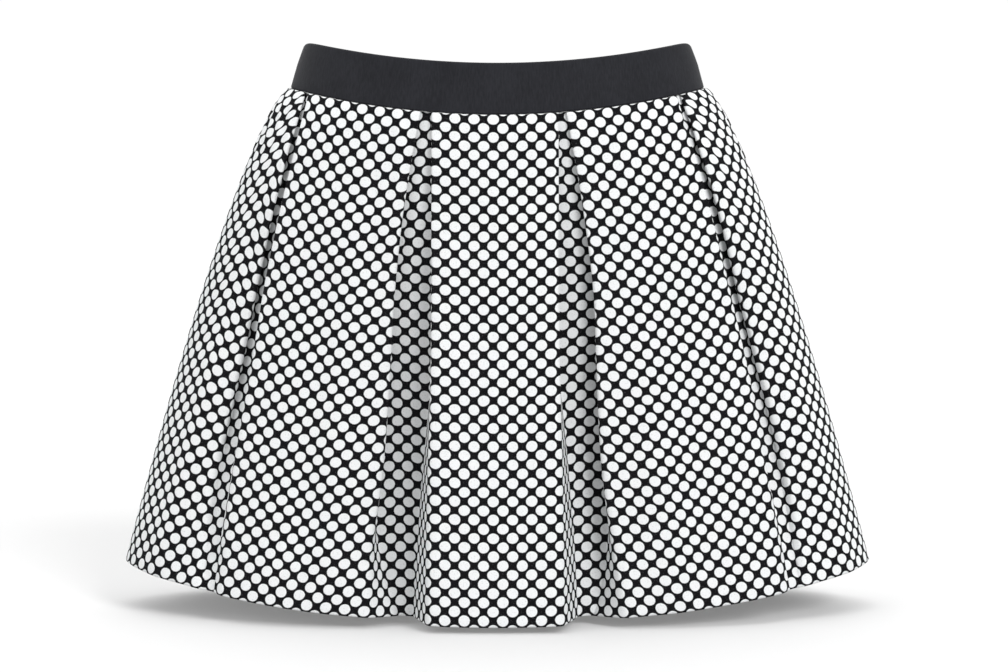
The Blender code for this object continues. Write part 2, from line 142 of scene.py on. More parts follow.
def smooth_step(tree, value, low, high):
    """0 below low and 1 above high, with a soft slope between."""
    inputs = {"Value": value, "From Min": low, "From Max": high}
    node = add_node(tree, "ShaderNodeMapRange", inputs, interpolation_type="SMOOTHSTEP")
    return node.outputs[0]


def new_material(name, **sockets):
    """A material whose plain numbers sit on its Principled BSDF's own sockets."""
    material = bpy.data.materials.new(name)
    material.use_nodes = True
    shader = material.node_tree.nodes["Principled BSDF"]
    for socket, value in sockets.items():
        shader.inputs[socket.replace("_", " ")].default_value = value
    return material, material.node_tree, shader


def give_surface(tree, shader, colour, height, relief):
    """Link a colour, and a height from 0 to 1 that tilts the surface as relief metres would."""
    tree.links.new(colour, shader.inputs["Base Color"])
    inputs = {"Height": height, "Distance": relief, "Strength": 1.0}
    bump = add_node(tree, "ShaderNodeBump", inputs)
    tree.links.new(bump.outputs[0], shader.inputs["Normal"])


# %% [markdown]
# ## The dotted cloth as a finish
# The cloth is woven in two colours: off-white dots on near black, packed so closely that only
# a thin dark line parts diagonal neighbours. A picture of dots could be wrapped round the skirt,
# but the dots would stretch at every fold. Here each point of the cloth carries its own address
# instead: the length of cloth round from the centre line and down from the waist. The shader
# finds the nearest dot centre from that address, so the dots bend and narrow as real ones do.
# Two lattices, half a step apart both ways, make the brick-like packing.

# %% Dotted cloth
DOT_STEP_ROUND = 0.0138
DOT_STEP_DOWN = 0.01316
DOT_RADIUS = 0.00383
DOT_SQUEEZE = 0.95
DOT_EDGE = 0.00022
DOT_PHASE = (0.70, 0.22, 0.0)
DOT_WANDER = 0.0011
DOT_RAGGEDNESS = 0.0005
HALF_STEP = (0.5, 0.5, 0.0)
THREAD_STEP = 0.00052
CLOTH_RELIEF = 0.00012
FLECK_COLOUR = (0.38, 0.39, 0.41)
SPECK_COLOUR = (0.30, 0.30, 0.32)
CLOTH_MAP = "cloth"


def dot_mask(tree, address):
    """1 inside a dot and 0 on the ground, with hand-woven unevenness."""
    wander = add_node(tree, "ShaderNodeTexNoise", {"Vector": address, "Scale": 95.0, "Detail": 1.0})
    shift = vector_node(tree, "SUBTRACT", wander.outputs["Color"], (0.5, 0.5, 0.5))
    shift = vector_node(tree, "MULTIPLY", shift, (DOT_WANDER, DOT_WANDER, 0.0))
    moved = vector_node(tree, "ADD", address, shift)
    steps = (DOT_STEP_ROUND, DOT_STEP_DOWN, 1.0)
    place = vector_node(tree, "ADD", vector_node(tree, "DIVIDE", moved, steps), DOT_PHASE)
    size = (DOT_STEP_ROUND * DOT_SQUEEZE, DOT_STEP_DOWN, 0.0)
    distances = []
    for lattice in ((0.0, 0.0, 0.0), HALF_STEP):
        cell = vector_node(tree, "FRACTION", vector_node(tree, "ADD", place, lattice))
        away = vector_node(tree, "MULTIPLY", vector_node(tree, "SUBTRACT", cell, HALF_STEP), size)
        distances.append(vector_node(tree, "LENGTH", away, output=1))
    nearest = math_node(tree, "MINIMUM", *distances)
    ragged = math_node(tree, "SUBTRACT", noise_node(tree, address, 1500.0), 0.5)
    nearest = math_node(tree, "MULTIPLY_ADD", ragged, DOT_RAGGEDNESS, nearest)
    edge = math_node(tree, "SUBTRACT", DOT_RADIUS, nearest)
    return smooth_step(tree, edge, -DOT_EDGE, DOT_EDGE)


def weave_height(tree, address):
    """Threads over and under each other: a product of two fine waves."""
    inputs = {0: address, "Scale": 2 * math.pi / THREAD_STEP}
    turns = add_node(tree, "ShaderNodeVectorMath", inputs, operation="SCALE").outputs[0]
    split = add_node(tree, "ShaderNodeSeparateXYZ", {0: turns}).outputs
    woven = math_node(
        tree, "MULTIPLY", math_node(tree, "SINE", split[0]), math_node(tree, "SINE", split[1])
    )
    return math_node(tree, "MULTIPLY_ADD", woven, 0.5, 0.5)


def make_dotted(name, dot_colour, ground_colour, dot_relief):
    material, tree, shader = new_material(name, Roughness=0.85, Specular_IOR_Level=0.08)
    address = add_node(tree, "ShaderNodeUVMap", uv_map=CLOTH_MAP).outputs[0]
    dots = dot_mask(tree, address)
    weave = weave_height(tree, address)
    flecks = smooth_step(tree, noise_node(tree, address, 900.0, 3.0), 0.52, 0.75)
    mottle = math_node(tree, "MULTIPLY", noise_node(tree, address, 260.0), 0.12)
    shade = math_node(tree, "MULTIPLY_ADD", flecks, 0.34, mottle)
    pale = mix_colours(tree, shade, dot_colour, FLECK_COLOUR)
    specks = math_node(tree, "MULTIPLY", math_node(tree, "MULTIPLY", weave, flecks), 0.20)
    dark = mix_colours(tree, specks, ground_colour, SPECK_COLOUR)
    threads = math_node(tree, "MULTIPLY", weave, 0.5)
    raised = math_node(tree, "MULTIPLY_ADD", dots, dot_relief, threads)
    give_surface(tree, shader, mix_colours(tree, dots, dark, pale), raised, CLOTH_RELIEF)
    return material


dotted_face = make_dotted("dotted_face", (0.885, 0.90, 0.905), (0.0048, 0.0048, 0.0058), 0.9)
dotted_reverse = make_dotted("dotted_reverse", (0.62, 0.62, 0.61), (0.030, 0.030, 0.033), 0.3)
print("dots every", DOT_STEP_ROUND * 1000, "by", DOT_STEP_DOWN * 1000, "mm")

# %% [markdown]
# ## Plain cloth, tape, thread and lacquer
# The waistband is a smooth charcoal cloth, stiffened from behind. It has no visible weave at a
# step away, only a faint upright grain and a soft sheen along its edges, so stretched noise and
# a little sheen are enough. The zip's tape is ribbed, and its slider and pull have the satin
# black lacquer of sewing-box metal, with tiny scuffs in the roughness.

# %% Plain finishes
RIB_STEP = 0.0011
THREAD_SHADE = 0.7


def band_pattern(tree, place):
    """Upright grain in soft clouds, and the same with finer grain for the relief."""
    grain = noise_node(tree, vector_node(tree, "MULTIPLY", place, (1.0, 1.0, 0.12)), 900.0, 3.0)
    clouds = math_node(tree, "MULTIPLY", noise_node(tree, place, 40.0, 3.0), 0.4)
    fine = math_node(tree, "MULTIPLY", noise_node(tree, place, 2400.0), 0.4)
    share = math_node(tree, "MULTIPLY_ADD", grain, 0.6, clouds)
    return smooth_step(tree, share, 0.30, 0.70), math_node(tree, "MULTIPLY_ADD", grain, 0.6, fine)


def tape_pattern(tree, place):
    across = add_node(tree, "ShaderNodeSeparateXYZ", {0: place}).outputs[0]
    turns = math_node(tree, "MULTIPLY", across, 2 * math.pi / RIB_STEP)
    # One wave gives the ribs' relief and also painted shade: the colour is darker in the troughs
    # between ribs.
    ribs_with_trough_shade = math_node(tree, "MULTIPLY_ADD", math_node(tree, "SINE", turns), 0.5, 0.5)
    return ribs_with_trough_shade, ribs_with_trough_shade


def thread_pattern(tree, place):
    twist = noise_node(tree, place, 5000.0, 1.0)
    return twist, twist


def lacquer_pattern(tree, place):
    scuffs = smooth_step(tree, noise_node(tree, place, 1400.0, 4.0), 0.45, 0.75)
    return scuffs, scuffs


def make_plain(name, pattern, low_colour, high_colour, relief, scuffed=None, **sockets):
    """A finish whose pattern gives the share of its second colour, and its height."""
    material, tree, shader = new_material(name, **sockets)
    share, height = pattern(tree, add_node(tree, "ShaderNodeTexCoord").outputs["Object"])
    colour = mix_colours(tree, share, low_colour, high_colour)
    give_surface(tree, shader, colour, height, relief)
    if scuffed:
        rough = math_node(tree, "MULTIPLY_ADD", share, *scuffed)
        tree.links.new(rough, shader.inputs["Roughness"])
    return material


def make_thread(name, colour):
    shaded = tuple(THREAD_SHADE * part for part in colour)
    return make_plain(
        name, thread_pattern, shaded, colour, 0.00004, Roughness=0.6, Specular_IOR_Level=0.4,
    )


band_cloth = make_plain(
    "band_cloth", band_pattern, (0.0085, 0.0090, 0.0120), (0.0165, 0.0172, 0.0220), 0.00010,
    Roughness=0.78, Specular_IOR_Level=0.2, Sheen_Weight=0.06, Sheen_Roughness=0.5,
)
tape_cloth = make_plain(
    "tape_cloth", tape_pattern, (0.010, 0.010, 0.012), (0.022, 0.022, 0.025), 0.00012,
    Roughness=0.85, Specular_IOR_Level=0.2,
)
dark_thread = make_thread("dark_thread", (0.020, 0.020, 0.022))
pale_thread = make_thread("pale_thread", (0.55, 0.55, 0.54))
black_lacquer = make_plain(
    "black_lacquer", lacquer_pattern, (0.012, 0.012, 0.014), (0.035, 0.035, 0.038), 0.00002,
    scuffed=(0.25, 0.28), Roughness=0.32, Metallic=0.35,
)
print("finishes", [m.name for m in bpy.data.materials if m.use_nodes])

# %% [markdown]
# ## Where the cloth lies: the base curves
# Seen from above, the skirt is an ellipse that grows from waist to hem. Every level has its own
# ellipse, and its height dips towards the centre line, as the seam of a curved waistband does.
# A place on a level is told in two lengths: s, along the ellipse from the centre line, and d,
# inwards from it. The outer sizes are read from the frame, so the fine cloth lands on the solids.

# %% Sizes from the frame
front_low, front_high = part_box("skirt_front")
band_low, band_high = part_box("waistband_front")

SEAM_GAP = 0.0003
SOLID_WALL = 0.0012
BAND_WALL = 0.0026
LAYER_PITCH = 0.0017

SEAM_HALF_WIDTH = 0.1565
SEAM_HALF_DEPTH = 0.0890
HEM_HALF_WIDTH = (front_high.x - front_low.x) / 2
HEM_HALF_DEPTH = 0.1300
FLARE_POWER = 0.755
SEAM_SIDE_Z = front_high.z
SEAM_MID_Z = -0.0145
HEM_SIDE_Z = -0.3490
HEM_MID_Z = front_low.z

BAND_SEAM_HALF_WIDTH = (band_high.x - band_low.x) / 2
BAND_SEAM_HALF_DEPTH = -band_low.y
BAND_TOP_HALF_WIDTH = 0.1445
BAND_TOP_HALF_DEPTH = 0.0825
BAND_TOP_SIDE_Z = 0.0398
BAND_TOP_MID_Z = 0.0230
BAND_DROOP = 0.0040
DROOP_POWER = 50
CURVE_STEPS = 400
print("waist", round(2 * SEAM_HALF_WIDTH, 4), "hem", round(2 * HEM_HALF_WIDTH, 4), "m wide")

# %% Base curves


def mix(start, end, share):
    return start + (end - start) * share


def run_along(points):
    """How far along a line each of its points lies."""
    return np.concatenate([[0.0], np.cumsum(np.hypot(*np.diff(points, axis=0).T))])


class Curve:
    """The base ellipse of one level, read by its length s from the centre line."""

    def __init__(self, half_width, half_depth, side_z, mid_z, dip_width=None, droop=0.0):
        self.half_width = half_width
        self.half_depth = half_depth
        self.side_z = side_z
        self.mid_z = mid_z
        self.dip_width = dip_width or half_width
        self.droop = droop
        self.angles = np.linspace(0.0, math.pi / 2, CURVE_STEPS)
        x = half_width * np.sin(self.angles)
        y = half_depth * np.cos(self.angles)
        self.lengths = run_along(np.column_stack([x, y]))
        self.quarter = self.lengths[-1]

    def s_at(self, x):
        """The length from the centre line at which the curve is x away from it."""
        return float(np.interp(math.asin(min(x / self.half_width, 1.0)), self.angles, self.lengths))

    def place(self, s, d):
        """Plan points for s along the curve and d inwards, on the front (-Y) side."""
        angle = np.interp(np.abs(s), self.lengths, self.angles)
        side = np.where(s < 0, -1.0, 1.0)
        nx = np.sin(angle) / self.half_width
        ny = np.cos(angle) / self.half_depth
        size = np.hypot(nx, ny)
        x = side * (self.half_width * np.sin(angle) - d * nx / size)
        y = -(self.half_depth * np.cos(angle) - d * ny / size)
        return np.stack([x, y], axis=-1)

    def height(self, x):
        """The height of the level where it is x to the side: it dips at the centre line."""
        aside = np.minimum(np.abs(x) / self.dip_width, 1.0)
        return mix(self.side_z, self.mid_z, 1.0 - aside ** 2) - self.droop * aside ** DROOP_POWER

    def lift(self, plan, behind):
        """Points in space over plan points, on the back (+Y) side if behind."""
        y = -plan[:, 1] if behind else plan[:, 1]
        return np.column_stack([plan[:, 0], y, self.height(plan[:, 0])])


def skirt_curve(level):
    """The base curve of the middle of the skirt's wall at a level, 0 at the waist, 1 at the hem."""
    flare = level ** FLARE_POWER
    return Curve(
        mix(SEAM_HALF_WIDTH, HEM_HALF_WIDTH, flare) - SOLID_WALL / 2,
        mix(SEAM_HALF_DEPTH, HEM_HALF_DEPTH, flare) - SOLID_WALL / 2,
        mix(SEAM_SIDE_Z, HEM_SIDE_Z, level),
        mix(SEAM_MID_Z, HEM_MID_Z, level),
    )


def band_curve(share):
    """The middle of the waistband's wall, from its seam (0) to its top edge (1)."""
    return Curve(
        mix(BAND_SEAM_HALF_WIDTH, BAND_TOP_HALF_WIDTH, share) - BAND_WALL / 2,
        mix(BAND_SEAM_HALF_DEPTH, BAND_TOP_HALF_DEPTH, share) - BAND_WALL / 2,
        mix(SEAM_SIDE_Z + SEAM_GAP, BAND_TOP_SIDE_Z, share),
        mix(SEAM_MID_Z + SEAM_GAP, BAND_TOP_MID_Z, share),
        mix(skirt_curve(0.0).half_width, BAND_TOP_HALF_WIDTH, share),
        BAND_DROOP * max(2 * share - 1, 0.0),
    )


for level in (0.0, 0.5, 1.0):
    print("level", level, "quarter of the base curve", round(skirt_curve(level).quarter, 4), "m")

# %% [markdown]
# ## The pleats as tables
# Four inverted pleats show in front, and four more lie behind. Near the waist each is folded
# flat in three layers, and towards the hem it opens into a soft wave. A table says where its
# edges run on the left, the right and the back, level by level, and a second one says how deep
# and how round it lies. A smooth curve through the rows gives every level between them.

# %% Tables of the folds
SIDES = ("left", "right", "back")
EDGES = ("centre", "inner", "outer")
FOLD_COLUMNS = ("level", *(f"{side}_{edge}" for side in SIDES for edge in EDGES))
FOLDS = (
    (0.00, 0.0470, 0.0560, 0.1385, 0.0440, 0.0505, 0.1310, 0.0455, 0.0530, 0.1350),
    (0.18, 0.0470, 0.0675, 0.1545, 0.0440, 0.0620, 0.1510, 0.0455, 0.0645, 0.1530),
    (0.36, 0.0470, 0.0750, 0.1695, 0.0442, 0.0705, 0.1675, 0.0458, 0.0725, 0.1680),
    (0.54, 0.0472, 0.0790, 0.1800, 0.0446, 0.0732, 0.1825, 0.0460, 0.0765, 0.1800),
    (0.72, 0.0477, 0.0846, 0.1910, 0.0452, 0.0775, 0.1945, 0.0464, 0.0811, 0.1927),
    (0.86, 0.0482, 0.0918, 0.1975, 0.0459, 0.0850, 0.2023, 0.0470, 0.0884, 0.1997),
    (1.00, 0.0486, 0.0950, 0.2015, 0.0466, 0.0938, 0.2088, 0.0476, 0.0944, 0.2050),
)
PLEAT_COLUMNS = ("level", "centre_lift", "inner_sink", "inner_depth", "centre_return",
                 "side_sink", "outer_gap", "outer_depth", "outer_return", "roundness")
PLEATS = (
    (0.00, 0.0000, 0.0000, 0.0035, 0.0200, 0.0000, 0.0060, 0.0035, 0.0160, 0.0017),
    (0.15, 0.0005, 0.0005, 0.0085, 0.0150, 0.0005, 0.0080, 0.0075, 0.0090, 0.0022),
    (0.35, 0.0020, 0.0020, 0.0165, 0.0060, 0.0020, 0.0110, 0.0105, 0.0020, 0.0035),
    (0.55, 0.0045, 0.0035, 0.0235, -0.0030, 0.0035, 0.0160, 0.0125, -0.0030, 0.0048),
    (0.75, 0.0065, 0.0050, 0.0280, -0.0100, 0.0035, 0.0215, 0.0120, -0.0065, 0.0060),
    (0.90, 0.0080, 0.0060, 0.0303, -0.0135, 0.0030, 0.0245, 0.0100, -0.0085, 0.0068),
    (1.00, 0.0085, 0.0065, 0.0308, -0.0150, 0.0030, 0.0260, 0.0080, -0.0095, 0.0072),
)
INNER_RETURN_HEM = -0.0200
SIDE_RETURN_HEM = -0.0095
RETURN_LIMIT = 0.0600
LEAN_SHARE = 0.65
THREAD_SEAM = 0.0760
THREAD_HEM = 0.1500
PANEL_STEP = 0.006


def read_table(rows, columns, level):
    """Each column's value at a level, by name, on smooth curves through the rows."""
    table = np.array(rows)
    levels = table[:, 0]
    slopes = np.gradient(table, levels, axis=0)
    i = int(np.clip(np.searchsorted(levels, level) - 1, 0, len(levels) - 2))
    step = levels[i + 1] - levels[i]
    f = (level - levels[i]) / step
    values = (
        table[i] * (1 + 2 * f) * (1 - f) ** 2
        + table[i + 1] * f * f * (3 - 2 * f)
        + step * slopes[i] * f * (1 - f) ** 2
        - step * slopes[i + 1] * f * f * (1 - f)
    )
    return dict(zip(columns, values.tolist()))


half_way = read_table(PLEATS, PLEAT_COLUMNS, 0.5)
print("half way down, the inner pleats are", round(half_way["inner_depth"] * 1000, 1), "mm deep")

# %% [markdown]
# ## One level of cloth as a spline
# A row of cloth is a smooth line through a handful of control points: flat along a panel, round
# its edge, back along the fold's wall, across the underlay and out again. A cubic B-spline suits
# cloth, because it has no kinks and pulls a tight bend into a round one.

# %% Controls of a pleat


def wall_controls(edge, inwards, depth, roundness):
    """Half a pleat in (s, d): round a panel's edge and along its wall to the foot of the wall.

    edge is (s, d, return) and inwards is +1 where the panel lies before its edge, else -1.
    """
    s, d, fold_return = edge
    drop = max(LAYER_PITCH, min(roundness, (depth - d) / 2))
    opening = max(-fold_return, 0.0) * drop / (depth - LAYER_PITCH - d)
    head = np.array([s + inwards * opening, d + drop])
    foot = np.array([s - inwards * fold_return, depth - LAYER_PITCH])
    run = foot - head
    length = max(float(np.hypot(*run)), 1e-6)
    step = run / length * min(roundness, length / 3)
    return [
        (s - inwards * (PANEL_STEP + roundness), d), (s - inwards * roundness, d), (s, d),
        tuple(head), tuple(head + step), tuple((head + foot) / 2), tuple(foot - step), tuple(foot),
    ]


def pleat_controls(first, second, depth, roundness):
    """Control points (s, d) of an inverted pleat between two panel edges, (s, d, return) each."""
    near = wall_controls(first, 1, depth, roundness)
    far = wall_controls(second, -1, depth, roundness)
    start, end = near[-1][0], far[-1][0]
    bend = min(roundness, (end - start) / 4)
    across = [start, start + bend, mix(start, end, 0.5), end - bend, end]
    return near + [(s, depth) for s in across] + far[::-1]


def spline(controls, counts):
    """Points of the cubic B-spline of the controls, with counts steps a span."""
    ends = np.vstack([2 * controls[0] - controls[1], controls, 2 * controls[-1] - controls[-2]])
    spans = np.repeat(np.arange(len(counts)), counts)
    f = np.concatenate([np.arange(count) / count for count in counts])
    spans = np.append(spans, len(counts) - 1)
    f = np.append(f, 1.0)[:, None]
    a, b, c, d = (ends[spans + i] for i in range(4))
    return (a * (1 - f) ** 3 + b * (3 * f ** 3 - 6 * f ** 2 + 4)
            + c * (-3 * f ** 3 + 3 * f ** 2 + 3 * f + 1) + d * f ** 3) / 6


# %% [markdown]
# ## Cloth keeps its length
# A pleat can't stretch: what the hem spreads out must be folded away higher up. So the length
# round a quarter of the skirt is measured at the hem, and at every other level the far wall of
# each pleat is made longer or shorter until the same length of cloth fits. Bisection finds it in
# a few halvings. This is what makes the side panels' rows of dots lean by themselves.

# %% A quarter of the skirt
LENGTH_STEPS = 4
HALVINGS = 20


def length_of(curve, controls):
    """Length of cloth along control points that are given in (s, d)."""
    points = spline(controls, [LENGTH_STEPS] * (len(controls) - 1))
    plan = curve.place(*points.T)
    return float(np.hypot(*np.diff(plan, axis=0).T).sum())


class Quarter:
    """One quarter of the skirt at one level: from the centre line to the side seam."""

    def __init__(self, side, level):
        self.curve = skirt_curve(level)
        self.lie = read_table(PLEATS, PLEAT_COLUMNS, level)
        fold = read_table(FOLDS, FOLD_COLUMNS, level)
        self.centre, self.inner, self.outer = (
            self.curve.s_at(fold[f"{side}_{edge}"]) for edge in EDGES
        )
        self.thread = self.curve.s_at(mix(THREAD_SEAM, THREAD_HEM, level))
        # A far wall may slope into its gap over part of the way to the near wall's foot
        inner_gap = self.inner - self.centre
        self.inner_limit = -LEAN_SHARE * (inner_gap + self.lie["centre_return"])
        self.outer_limit = -LEAN_SHARE * (self.lie["outer_gap"] + self.lie["outer_return"])

    def inner_controls(self, fold_return):
        """From the centre line to the thread of the side-front panel."""
        lie = self.lie
        lift, sink = -lie["centre_lift"], lie["inner_sink"]
        panel = [(self.centre * f, lift) for f in (0.0, 0.3, 0.6)]
        pleat = pleat_controls(
            (self.centre, lift, lie["centre_return"]), (self.inner, sink, fold_return),
            lie["inner_depth"], lie["roundness"],
        )
        last = pleat[-1][0]
        rest = [(mix(last, self.thread, f), mix(sink, 0.0, f)) for f in (0.5, 1.0)]
        return np.array(panel + pleat + rest)

    def outer_controls(self, fold_return):
        """From the thread of the side-front panel to the side seam."""
        lie = self.lie
        sink, side_edge = lie["side_sink"], self.outer + lie["outer_gap"]
        pleat = pleat_controls(
            (self.outer, 0.0, lie["outer_return"]), (side_edge, sink, fold_return),
            lie["outer_depth"], lie["roundness"],
        )
        first, last = pleat[0][0], pleat[-1][0]
        panel = [(mix(self.thread, first, f), 0.0) for f in (0.0, 0.5)]
        side = [
            (mix(last, self.curve.quarter, f), sink * (1 - f) ** 2) for f in (0.25, 0.5, 0.75, 1.0)
        ]
        return np.array(panel + pleat + side)

    def fitted(self, controls_for, wanted, low):
        """The controls with the return that makes the cloth as long as wanted, by bisection."""
        high = RETURN_LIMIT
        for _ in range(HALVINGS):
            middle = (low + high) / 2
            if length_of(self.curve, controls_for(middle)) < wanted:
                low = middle
            else:
                high = middle
        return controls_for((low + high) / 2)


def quarter_rows(side, levels):
    """The curve and control points of a quarter at each level, all with the hem's length."""
    hem = Quarter(side, 1.0)
    inner_length = length_of(hem.curve, hem.inner_controls(INNER_RETURN_HEM))
    outer_length = length_of(hem.curve, hem.outer_controls(SIDE_RETURN_HEM))
    rows = []
    for level in levels:
        quarter = Quarter(side, level)
        inner = quarter.fitted(quarter.inner_controls, inner_length, quarter.inner_limit)
        outer = quarter.fitted(quarter.outer_controls, outer_length, quarter.outer_limit)
        rows.append((quarter.curve, np.vstack([inner, outer[1:]])))
    print("cloth in a quarter:", round((inner_length + outer_length) * 1000, 1), "mm")
    return rows, inner_length + outer_length


# Levels of the fine rings: close together at the waist and at the turned-up hem
SLANT = 0.370
HEM_TURN = 0.025
TURN_STEP = 0.0012
TOP_LEVELS = (0.0, 0.004, 0.009, 0.015)
MAIN_LEVELS = tuple(np.linspace(0.024, 1.0 - (HEM_TURN + TURN_STEP) / SLANT, 66))
LOW_LEVELS = tuple(1.0 - np.array([HEM_TURN, 0.018, 0.011, 0.005, 0.0015, 0.0]) / SLANT)
LEVELS = TOP_LEVELS + MAIN_LEVELS + LOW_LEVELS
left_rows, left_cloth = quarter_rows("left", LEVELS)
right_rows, right_cloth = quarter_rows("right", LEVELS)
back_rows, back_cloth = quarter_rows("back", LEVELS)
print(len(LEVELS), "levels")

# %% [markdown]
# ## Soft creases
# Real cloth isn't as even as a formula. Small puckers start under the waistband, long shallow
# troughs run down the panels, and the hem wavers. Each is a row in a table: where it lies along
# the curve at its top and foot, how far down it starts and ends, how wide it is and how deep.
# A bell-shaped cross-section and faded ends make it melt into the panel.

# %% Table of creases
# Columns: top_x, foot_x, start, end, half_width, depth
FRONT_CREASES = (
    (-0.020, -0.024, 0.10, 0.75, 0.012, 0.0012),
    (0.022, 0.019, 0.35, 1.05, 0.013, 0.0013),
    (-0.082, -0.118, 0.02, 0.45, 0.009, 0.0013),
    (-0.112, -0.150, 0.25, 0.95, 0.014, 0.0022),
    (-0.092, -0.124, 0.55, 1.10, 0.013, -0.0016),
    (0.078, 0.112, 0.02, 0.50, 0.009, 0.0014),
    (0.108, 0.158, 0.30, 1.10, 0.015, 0.0020),
    (0.090, 0.128, 0.60, 1.10, 0.012, -0.0018),
    (-0.150, -0.232, 0.20, 1.10, 0.012, 0.0026),
    (-0.155, -0.255, 0.45, 1.10, 0.010, -0.0022),
    (0.149, 0.238, 0.25, 1.10, 0.013, 0.0024),
    (0.154, 0.262, 0.50, 1.10, 0.010, -0.0020),
)
BACK_CREASES = (
    (-0.033, -0.030, 0.20, 0.90, 0.010, 0.0013),
    (0.031, 0.034, 0.05, 0.60, 0.010, 0.0012),
    (-0.080, -0.115, 0.02, 0.50, 0.009, 0.0014),
    (-0.108, -0.152, 0.30, 1.10, 0.014, 0.0021),
    (0.082, 0.120, 0.02, 0.42, 0.009, 0.0013),
    (0.112, 0.156, 0.35, 1.10, 0.015, 0.0020),
    (-0.150, -0.236, 0.25, 1.10, 0.012, 0.0024),
    (0.152, 0.240, 0.20, 1.10, 0.012, 0.0023),
    (0.156, 0.258, 0.50, 1.10, 0.010, -0.0018),
)
PUCKER_STEP = 0.0125
PUCKER_DEPTH = 0.0007
PUCKER_FADE = 0.060
END_FADE = 0.16


def fade(value):
    """A smooth step from 0 to 1."""
    f = np.clip(value, 0.0, 1.0)
    return f * f * (3 - 2 * f)


def crease_depth(creases, curve, level, s):
    """How far inwards the creases push the cloth at s on one level."""
    depth = np.zeros_like(s)
    for top_x, foot_x, start, end, half_width, deep in creases:
        centre_x = mix(top_x, foot_x, level)
        centre = math.copysign(curve.s_at(abs(centre_x)), centre_x)
        shown = fade((level - start) / END_FADE) * fade((end - level) / END_FADE)
        depth += deep * shown * np.exp(-((s - centre) / half_width) ** 2)
    puckers = np.sin(s / PUCKER_STEP * 2 * math.pi) * np.sin(s / (2.7 * PUCKER_STEP) + 1.0)
    rise = level * math.exp(1 - level / PUCKER_FADE) / PUCKER_FADE
    return depth + PUCKER_DEPTH * rise * puckers


print(len(FRONT_CREASES), "creases in front and", len(BACK_CREASES), "behind")

# %% [markdown]
# ## From lines to a wall of cloth
# A cloth panel is a thin closed wall: an outer face, an inner face and narrow edges. On each
# level the line is moved out to the outer face, and in again by the thickness of the cloth,
# square to its own direction. At the hem the inner face steps in where the cloth is turned up
# double. The edges at the seams curve inwards, as sewn edges do.

# %% Rings of a panel
CLOTH_WALL = 0.0009
SEAM_ROLL = 0.0011
END_STEPS = np.array([0.0003, 0.0008, 0.0015, 0.0026])
CENTRE_SPANS = (4, 4, 4)
HALF_PLEAT_SPANS = (2, 3, 4, 3, 4, 4, 3)
UNDERLAY_SPANS = (3, 3, 5, 5, 3, 3)
PLEAT_SPANS = HALF_PLEAT_SPANS + UNDERLAY_SPANS + HALF_PLEAT_SPANS[::-1]
MIDDLE_SPANS = (5, 5, 6, 6)
SIDE_SPANS = (6, 6, 6, 6)
QUARTER_SPANS = CENTRE_SPANS + PLEAT_SPANS + MIDDLE_SPANS + PLEAT_SPANS + SIDE_SPANS


def unit_rows(vectors):
    return vectors / np.linalg.norm(vectors, axis=1)[:, None]


def trimmed(controls):
    """Controls whose ends stop half a seam's gap short of the next panel."""
    controls = controls.copy()
    controls[[0, -1], 0] += (SEAM_GAP / 2, -SEAM_GAP / 2)
    return controls


def add_end_columns(points):
    """A line with extra points close to its ends, where the cloth bends into its seams."""
    run = run_along(points)
    wanted = np.sort(np.concatenate([END_STEPS, run, run[-1] - END_STEPS]))
    return np.column_stack([np.interp(wanted, run, column) for column in points.T])


def roll_in(points):
    """How far each point sinks where the cloth's ends curve into their seams."""
    run = run_along(points)
    sink = np.zeros(len(points))
    for away in (run, run[-1] - run):
        f = np.clip(1.0 - away / (2 * SEAM_ROLL), 0.0, 1.0)
        sink += SEAM_ROLL * (1.0 - np.sqrt(1.0 - f * f))
    return sink


def panel_rings(rows, spans, creases, behind):
    """Outer face, inner face and lengths along the flat cloth, with a row for each level."""
    outer, inner, along = [], [], []
    for level, (curve, controls) in zip(LEVELS, rows):
        points = add_end_columns(spline(trimmed(controls), spans))
        along.append(run_along(curve.place(*points.T)))
        points[:, 1] += crease_depth(creases, curve, level, points[:, 0]) + roll_in(points)
        plan = curve.place(*points.T)
        tangent = unit_rows(np.gradient(plan, axis=0))
        outwards = np.stack([tangent[:, 1], -tangent[:, 0]], axis=1)
        layers = 2.0 if level >= 1.0 - HEM_TURN / SLANT - 1e-9 else 1.0
        for face, depth in ((outer, 0.0), (inner, CLOTH_WALL * layers)):
            face.append(curve.lift(plan + outwards * (SOLID_WALL / 2 - depth), behind))
    return np.array(outer), np.array(inner), np.array(along)


# %% [markdown]
# ## The cloth's own address
# The dots need to know where in the flat cloth each point came from. The way round is the length
# along the level. The way down is measured along single threads: their places are read at every
# level, and the length between them adds up to the cut length at the hem.

# %% Address of every point
THREADS = 240
CUT_LENGTH = 0.370


def cloth_address(outer, along, start):
    """(round, down) in metres for each point of a panel; start is the first column's value."""
    threads = np.linspace(0.0, along[:, -1].min(), THREADS)
    places = np.array([
        [np.interp(threads, row, ring[:, axis]) for axis in range(3)]
        for row, ring in zip(along, outer)
    ])
    steps = np.linalg.norm(np.diff(places, axis=0), axis=1)
    down = np.vstack([np.zeros(THREADS), np.cumsum(steps, axis=0)])
    down *= CUT_LENGTH / down[-1]
    depth = np.array([np.interp(row, threads, depths) for row, depths in zip(along, down)])
    return np.stack([start + along, depth], axis=-1)


# %% [markdown]
# ## One closed skin for everything that is cloth
# Panels, waistband and tape are all thin walls. A wall's section is a closed ring of points, and
# a row of rings describes the whole wall. One function joins neighbouring rings by four-sided
# faces. It closes the first and last ring with one face each, or zips them shut from side to
# side where they are long and bent, so that no wall is left open.

# %% Closed skins
HEM_BULGE = 0.6


def count_triangles(data):
    return sum(len(face.vertices) - 2 for face in data.polygons)


